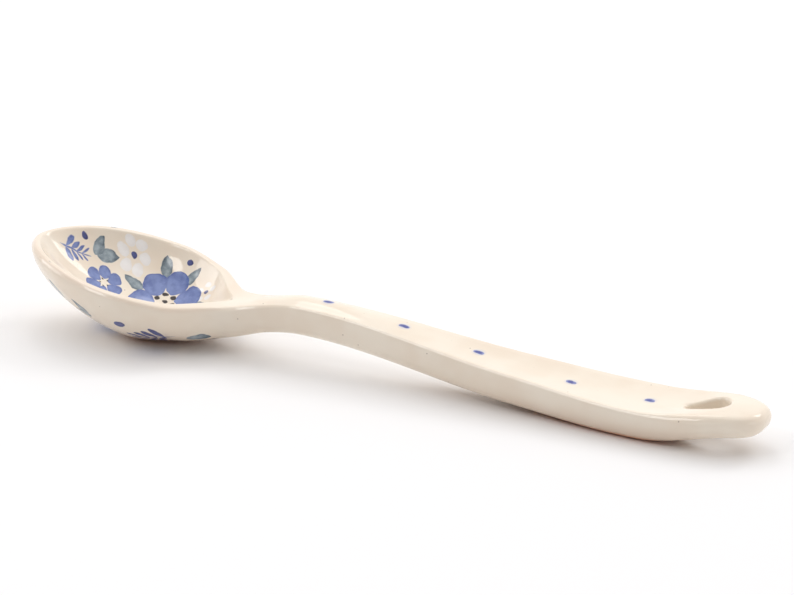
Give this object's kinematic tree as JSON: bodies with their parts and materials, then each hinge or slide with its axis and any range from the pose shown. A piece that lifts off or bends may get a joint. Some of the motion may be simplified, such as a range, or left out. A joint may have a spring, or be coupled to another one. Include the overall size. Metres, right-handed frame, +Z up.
{
  "type": "stoneware serving spoon",
  "caption": "One-piece glazed stoneware serving spoon with a deep oval bowl, an arched neck and a long dished handle with a rounded hanging eye.",
  "frame": {"origin": "middle of the part's bounding box, on the table it lies on", "axes": "+X from the bowl's tip to the handle's end, +Y across the spoon, +Z up from the table"},
  "size_m": [0.19, 0.0386, 0.0205],
  "materials": {
    "cream_glaze": "gloss",
    "cobalt_colour": "gloss"
  },
  "bodies": {
    "root": {"bowl": "cream_glaze", "handle": "cream_glaze", "handle_dots": "cobalt_colour"}
  },
  "joints": []
}
